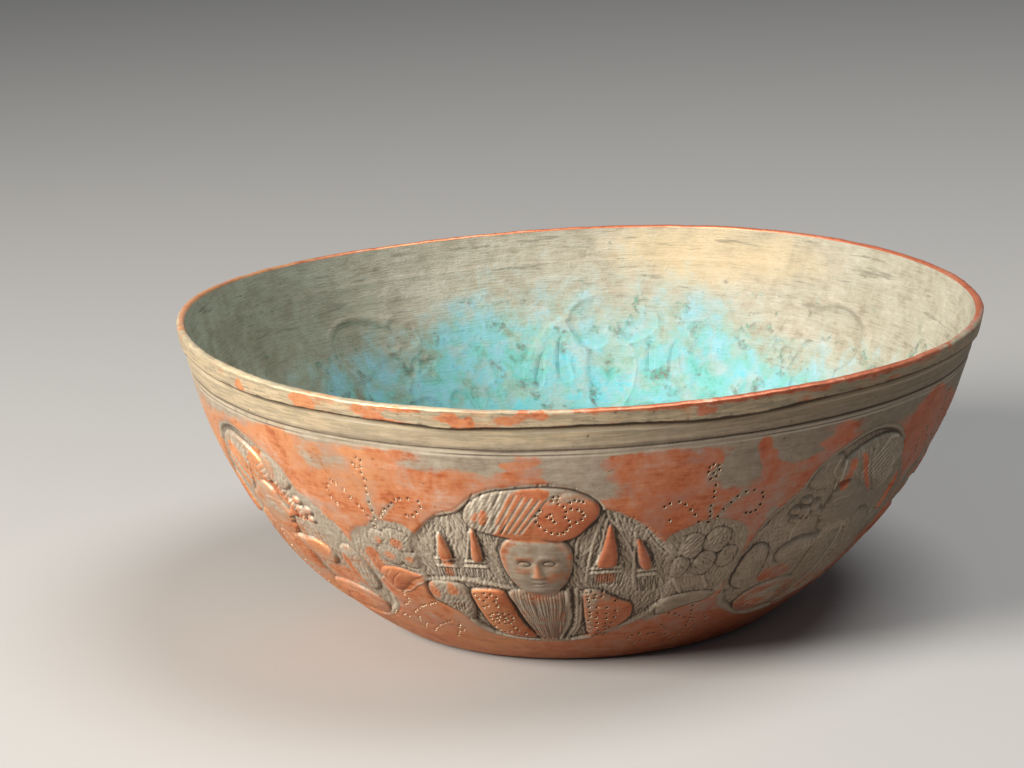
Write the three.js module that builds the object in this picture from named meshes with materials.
// A hand-raised copper bowl with a hemmed lip, tinned inside, chased with lobed medallions.
// Sizes are in millimetres. +Z is up and the bowl stands on the origin, with its front at -Y.
import * as THREE from "three";
import { mergeVertices } from "three/addons/utils/BufferGeometryUtils.js";

// The bowl's outside
const HEIGHT = 92.6;
const RIM_RADIUS = 122;
const BASE_RADIUS = 61;
const FOOT_ANGLE = 33.5; // degrees, how steeply the wall leaves the table
const LIP_ANGLE = 8.5; // degrees that the wall still leans outwards at the lip
const FOOT_REACH = 53; // length of the wall curve's handle at the base
const LIP_REACH = 23; // length of the wall curve's handle at the lip

// The metal
const SHEET = 1.2;
const TIN_COAT = 0.3;
const HEM_THICKNESS = 1.1;
const HEM_WIDTH = 5.1;
const HEM_EDGE_ROUND = 0.35;
const TIN_BELOW_LIP = 0.8;

// The chased groove below the hem
const GROOVE_DROP = 12.6; // from the lip, along the wall
const GROOVE_WIDTH = 2.6;
const GROOVE_DEPTH = 0.35;

// The medallions, pushed out from inside and sunk round their figures
const MEDALLIONS = 8;
const FIRST_MEDALLION = -6; // degrees from the front
const FRONT_PITCH = 51.4; // degrees from the first medallion to the next on either side of it
const MEDALLION_SHARE = 0.766; // share of its pitch that a medallion fills
const MEDALLION_FOOT = 19; // plain metal between the base and the medallion, along the wall
const FIELD_ABOVE = 11.4; // plain metal between the medallion and the groove
const GROUND_DEPTH = 0.7;
const FIGURE_HEIGHT = 1.8; // of the highest mass over its ground
const LEDGE_WIDTH = 0.16; // share of a lobe's radius over which the ground sinks
const INNER_RELIEF = 0.55; // share of the relief that shows on the inner face

// How far the hammered lip strays from a flat, round one: waves round the bowl, each with its
// share of the greatest stray and the place of a crest as a share of a turn from +X
const LIP_STRAY = 2;
const LIP_RISE = [
  { waves: 1, share: 1, crest: 0.53 },
  { waves: 2, share: 0.7, crest: 0.09 },
  { waves: 3, share: 0.275, crest: 0.17 },
];
const ROUND_STRAY = 1.9;
const OUT_OF_ROUND = [
  { waves: 3, share: 1, crest: 0 },
  { waves: 4, share: 0.395, crest: 0.95 },
];
const HEM_STRAY = 0.5;
const HEM_LINE = [
  { waves: 6, share: 1, crest: 0.0355 },
  { waves: 7, share: 1, crest: 0.054 },
  { waves: 11, share: 0.72, crest: 0.0273 },
];

// How finely the faces are divided
const COLUMNS = 140;
const CHASED_STEP = 4.4;
const PLAIN_STEP = 6.5;
const INNER_STEP = 9;

const INNER_COLUMNS = COLUMNS / 2;
const PITCH = (360 - 2 * FRONT_PITCH) / (MEDALLIONS - 2); // of the medallions further round
const FRONT = -90;
const radians = THREE.MathUtils.degToRad;

// The wall's outer face, as radius and height, from the base's edge to the lip
const footHandle = new THREE.Vector2(Math.cos(radians(FOOT_ANGLE)), Math.sin(radians(FOOT_ANGLE)));
const lipHandle = new THREE.Vector2(Math.sin(radians(LIP_ANGLE)), Math.cos(radians(LIP_ANGLE)));
const footPoint = new THREE.Vector2(BASE_RADIUS, 0);
const lipPoint = new THREE.Vector2(RIM_RADIUS - HEM_THICKNESS, HEIGHT);
const wall = new THREE.CubicBezierCurve(
  footPoint,
  footPoint.clone().addScaledVector(footHandle, FOOT_REACH),
  lipPoint.clone().addScaledVector(lipHandle, -LIP_REACH),
  lipPoint
);
const WALL_LENGTH = wall.getLength();
const HEM_START = WALL_LENGTH - HEM_WIDTH;
const GROOVE_LINE = WALL_LENGTH - GROOVE_DROP;
const MEDALLION_HEIGHT = GROOVE_LINE - FIELD_ABOVE - MEDALLION_FOOT;

// Sums the waves of a hammered edge at an angle round the bowl.
function waver(waves, stray, angle) {
  const turns = angle / 360;
  return stray * waves.reduce((sum, w) => sum + w.share * Math.cos(2 * Math.PI * w.waves * (turns - w.crest)), 0);
}

// A rounded mound of height 1, with centre x, y and radii rx, ry in a medallion's own frame.
function mound(x, y, form) {
  const squareness = form.square ?? 2;
  const reach = Math.abs((x - form.x) / form.rx) ** squareness + Math.abs((y - form.y) / form.ry) ** squareness;
  return THREE.MathUtils.smoothstep(1 - reach, 0, form.edge ?? 0.7);
}

// A medallion's frame runs from -1 to 1 across and from 0 at its foot to 1 at the bust's crown, and
// the heights of its masses are shares of FIGURE_HEIGHT. Its sunken ground has a shoulder lobe and
// a foot lobe under the arch of its own figure.
const SHOULDER_LOBE = { x: 0, y: 0.5, rx: 1, ry: 0.32, square: 3.2, edge: LEDGE_WIDTH };
const FOOT_LOBE = { x: 0, y: 0.34, rx: 0.84, ry: 0.34, edge: LEDGE_WIDTH };

// The turbaned bust: turban, head, shoulders, gown and the spires beside it
const BUST = {
  lobes: [{ x: 0, y: 0.82, rx: 0.58, ry: 0.2, edge: LEDGE_WIDTH }, SHOULDER_LOBE, FOOT_LOBE],
  masses: [
    { x: -0.05, y: 0.86, rx: 0.52, ry: 0.17, height: 1 },
    { x: -0.05, y: 0.58, rx: 0.33, ry: 0.23, height: 0.95 },
    { x: -0.47, y: 0.23, rx: 0.27, ry: 0.22, height: 0.8 },
    { x: 0.51, y: 0.24, rx: 0.27, ry: 0.22, height: 0.8 },
    { x: -0.08, y: 0.22, rx: 0.26, ry: 0.24, height: 0.62 },
    { x: -0.88, y: 0.32, rx: 0.2, ry: 0.15, height: 0.4 },
    { x: -0.78, y: 0.67, rx: 0.12, ry: 0.14, height: 0.55 },
    { x: -0.52, y: 0.68, rx: 0.12, ry: 0.14, height: 0.55 },
    { x: 0.5, y: 0.69, rx: 0.13, ry: 0.16, height: 0.55 },
    { x: 0.79, y: 0.63, rx: 0.12, ry: 0.14, height: 0.55 },
  ],
};

// The figure seated in profile: turban, head, cloak, knee, arm, sleeve, the flower in its hand, the
// curtain's end above that, and a spire behind
const SEATED = {
  lobes: [{ x: 0.03, y: 0.85, rx: 0.63, ry: 0.24, edge: LEDGE_WIDTH }, SHOULDER_LOBE, FOOT_LOBE],
  masses: [
    { x: 0.16, y: 0.89, rx: 0.46, ry: 0.16, height: 1 },
    { x: 0.03, y: 0.69, rx: 0.32, ry: 0.18, height: 0.9 },
    { x: 0.36, y: 0.33, rx: 0.52, ry: 0.33, height: 0.85 },
    { x: -0.41, y: 0.19, rx: 0.42, ry: 0.15, height: 0.85 },
    { x: -0.24, y: 0.51, rx: 0.36, ry: 0.11, height: 0.7 },
    { x: -0.81, y: 0.44, rx: 0.2, ry: 0.17, height: 0.6 },
    { x: -0.46, y: 0.74, rx: 0.2, ry: 0.1, height: 0.5 },
    { x: -0.38, y: 0.91, rx: 0.18, ry: 0.11, height: 0.5 },
    { x: 0.8, y: 0.67, rx: 0.13, ry: 0.15, height: 0.55 },
  ],
};

// The flower between two medallions, in the frame of the medallion on its left
const FLOWER = { x: 1 / MEDALLION_SHARE, y: 0.62, rx: 0.26, ry: 0.12, height: 0.3 };

// The bust is at the front, and the two figures take turns from there. Each seated figure holds its
// flower out to the bust at the front or to the one at the back, whichever is beside it.
function medallionAt(place) {
  return { figure: place % 2 ? SEATED : BUST, side: place % 4 === 3 ? -1 : 1 };
}

// How many pitches an angle lies from the first medallion. The pitches on both sides of that one are
// wide, and the others share the rest of the round.
function pitchesRound(angle) {
  const turn = THREE.MathUtils.euclideanModulo(angle - FRONT - FIRST_MEDALLION, 360);
  if (turn < FRONT_PITCH) return turn / FRONT_PITCH;
  if (turn > 360 - FRONT_PITCH) return MEDALLIONS - (360 - turn) / FRONT_PITCH;
  return 1 + (turn - FRONT_PITCH) / PITCH;
}

// How far the chasing lifts the sheet at an angle and a distance up the wall
function relief(angle, up) {
  const turned = pitchesRound(angle);
  const place = Math.round(turned);
  const { figure, side } = medallionAt(place % MEDALLIONS);
  const x = (side * (turned - place)) / (MEDALLION_SHARE / 2);
  const y = (up - MEDALLION_FOOT) / MEDALLION_HEIGHT;
  const ground = Math.max(...figure.lobes.map((lobe) => mound(x, y, lobe)));
  const mass = Math.max(...figure.masses.map((form) => form.height * mound(x, y, form)));
  const flower = FLOWER.height * Math.max(mound(x, y, FLOWER), mound(-x, y, FLOWER));
  return ground * (FIGURE_HEIGHT * mass - GROUND_DEPTH) + FIGURE_HEIGHT * flower;
}

// How far the groove below the hem is chased in
function groove(up) {
  return GROOVE_DEPTH * mound(up, 0, { x: GROOVE_LINE, y: 0, rx: GROOVE_WIDTH / 2, ry: 1 });
}

// A place on the wall: up runs along it from the base's edge and depth goes in from its outer face.
function wallPoint(angle, up, depth, lift) {
  const along = THREE.MathUtils.clamp(up / WALL_LENGTH, 0, 1);
  const point = wall.getPointAt(along);
  const tangent = wall.getTangentAt(along);
  return hammered(angle, point.x + tangent.y * (lift - depth), point.y - tangent.x * (lift - depth));
}

// A radius and a height become a point of the bowl, whose foot is true and whose lip strays.
function hammered(angle, radius, height) {
  const stray = (height / HEIGHT) ** 2;
  const spread = radius + stray * waver(OUT_OF_ROUND, ROUND_STRAY, angle);
  return new THREE.Vector3(
    spread * Math.cos(radians(angle)),
    spread * Math.sin(radians(angle)),
    height + stray * waver(LIP_RISE, LIP_STRAY, angle)
  );
}

// The rows that a face of the wall is divided into, from one distance up it to another
function rows(from, to, step) {
  const count = Math.max(1, Math.round((to - from) / step));
  return Array.from({ length: count + 1 }, (_, i) => THREE.MathUtils.lerp(from, to, i / count));
}

// A station is a function from an angle to a point. Its ring goes once round the bowl.
function ring(station, columns) {
  return Array.from({ length: columns }, (_, k) => station(FRONT + FIRST_MEDALLION + (360 * k) / columns));
}

// Joins rings, each as finely divided as the next or half or twice as finely, into a face.
// Every face is split along the same diagonals, so that faces that lie on each other match.
function face(rings, turnedInwards = false) {
  const triangles = [];
  for (let i = 0; i + 1 < rings.length; i++) {
    const [lower, upper] = [rings[i], rings[i + 1]];
    const columns = Math.max(lower.length, upper.length);
    const corner = (points, k) => points[Math.floor((k * points.length) / columns) % points.length];
    for (let k = 0; k < columns; k++) {
      const [a, b] = [corner(lower, k), corner(lower, k + 1)];
      const [d, c] = [corner(upper, k), corner(upper, k + 1)];
      triangles.push([a, b, d], [b, c, d]);
    }
  }
  const sound = triangles.filter(([a, b, c]) => a !== b && b !== c && c !== a);
  return turnedInwards ? sound.map(([a, b, c]) => [a, c, b]) : sound;
}

// Faces that share their edges become one closed body.
function body(...faces) {
  const geometry = mergeVertices(new THREE.BufferGeometry().setFromPoints(faces.flat(2)));
  geometry.computeVertexNormals();
  return geometry;
}

// The hem's lower edge on the wall
function hemLine(angle) {
  return HEM_START + waver(HEM_LINE, HEM_STRAY, angle);
}

function onAxis(height) {
  return [new THREE.Vector3(0, 0, height)];
}

// The sheet's outer face, from the base's edge to the groove
function outerFace() {
  const field = [
    ...rows(0, MEDALLION_FOOT, PLAIN_STEP).slice(0, -1),
    ...rows(MEDALLION_FOOT, MEDALLION_FOOT + MEDALLION_HEIGHT, CHASED_STEP),
    ...rows(GROOVE_LINE - GROOVE_WIDTH / 2, GROOVE_LINE + GROOVE_WIDTH / 2, GROOVE_WIDTH / 2),
  ];
  return field.map((up) => ring((angle) => wallPoint(angle, up, 0, relief(angle, up) - groove(up)), COLUMNS));
}

// The two rings of the sheet between which the hem lies on it
function underHem() {
  return [
    ring((angle) => wallPoint(angle, hemLine(angle), 0, 0), COLUMNS),
    ring((angle) => wallPoint(angle, WALL_LENGTH, 0, 0), COLUMNS),
  ];
}

// A face inside the bowl, at a depth from the sheet's outer face, over the base and up the wall.
// It meets the base where the thickness of the base and that of the wall cross.
function innerFace(depth) {
  const cornerRadius = BASE_RADIUS - depth * Math.tan(radians(FOOT_ANGLE / 2));
  const corner = ring((angle) => hammered(angle, cornerRadius, depth), INNER_COLUMNS);
  const wallRows = rows(0, WALL_LENGTH - TIN_BELOW_LIP, INNER_STEP).slice(1);
  return [
    onAxis(depth),
    corner,
    ...wallRows.map((up) =>
      ring((angle) => wallPoint(angle, up, depth, INNER_RELIEF * relief(angle, up)), INNER_COLUMNS)
    ),
  ];
}

// The body is one sheet of copper, raised over stakes into a flat-bottomed bowl.
function copperBody() {
  const outside = [onAxis(0), ...outerFace(), ...underHem()];
  const lipInside = ring((angle) => wallPoint(angle, WALL_LENGTH, SHEET, 0), INNER_COLUMNS);
  return body(face(outside), face([outside.at(-1), lipInside]), face([...innerFace(SHEET), lipInside], true));
}

// The hem doubles the lip outside, and its lower edge is cut by hand and wavers.
function rimBand() {
  const [lower, upper] = underHem();
  const proud = HEM_THICKNESS - HEM_EDGE_ROUND;
  const outside = [
    (angle) => wallPoint(angle, hemLine(angle), -proud, 0),
    (angle) => wallPoint(angle, hemLine(angle) + HEM_EDGE_ROUND, -HEM_THICKNESS, 0),
    (angle) => wallPoint(angle, WALL_LENGTH - HEM_EDGE_ROUND, -HEM_THICKNESS, 0),
    (angle) => wallPoint(angle, WALL_LENGTH, -proud, 0),
  ];
  return body(face([lower, ...outside.map((station) => ring(station, COLUMNS)), upper]), face([lower, upper], true));
}

// The tin is wiped on hot inside, in one coat over the base and up the wall to the lip.
function tinLining() {
  const [onSheet, worn] = [innerFace(SHEET), innerFace(SHEET + TIN_COAT)];
  return body(face(onSheet), face([onSheet.at(-1), worn.at(-1)]), face(worn, true));
}

function part(name, geometry, color, roughness, metalness) {
  const mesh = new THREE.Mesh(geometry, new THREE.MeshStandardMaterial({ color, roughness, metalness }));
  mesh.name = name;
  return mesh;
}

const bowl = new THREE.Group();
bowl.add(part("copper_body", copperBody(), 0xb5623c, 0.45, 1));
bowl.add(part("rim_band", rimBand(), 0xa89a7c, 0.5, 1));
bowl.add(part("tin_lining", tinLining(), 0xa7b8a6, 0.6, 0.7));

export default bowl;
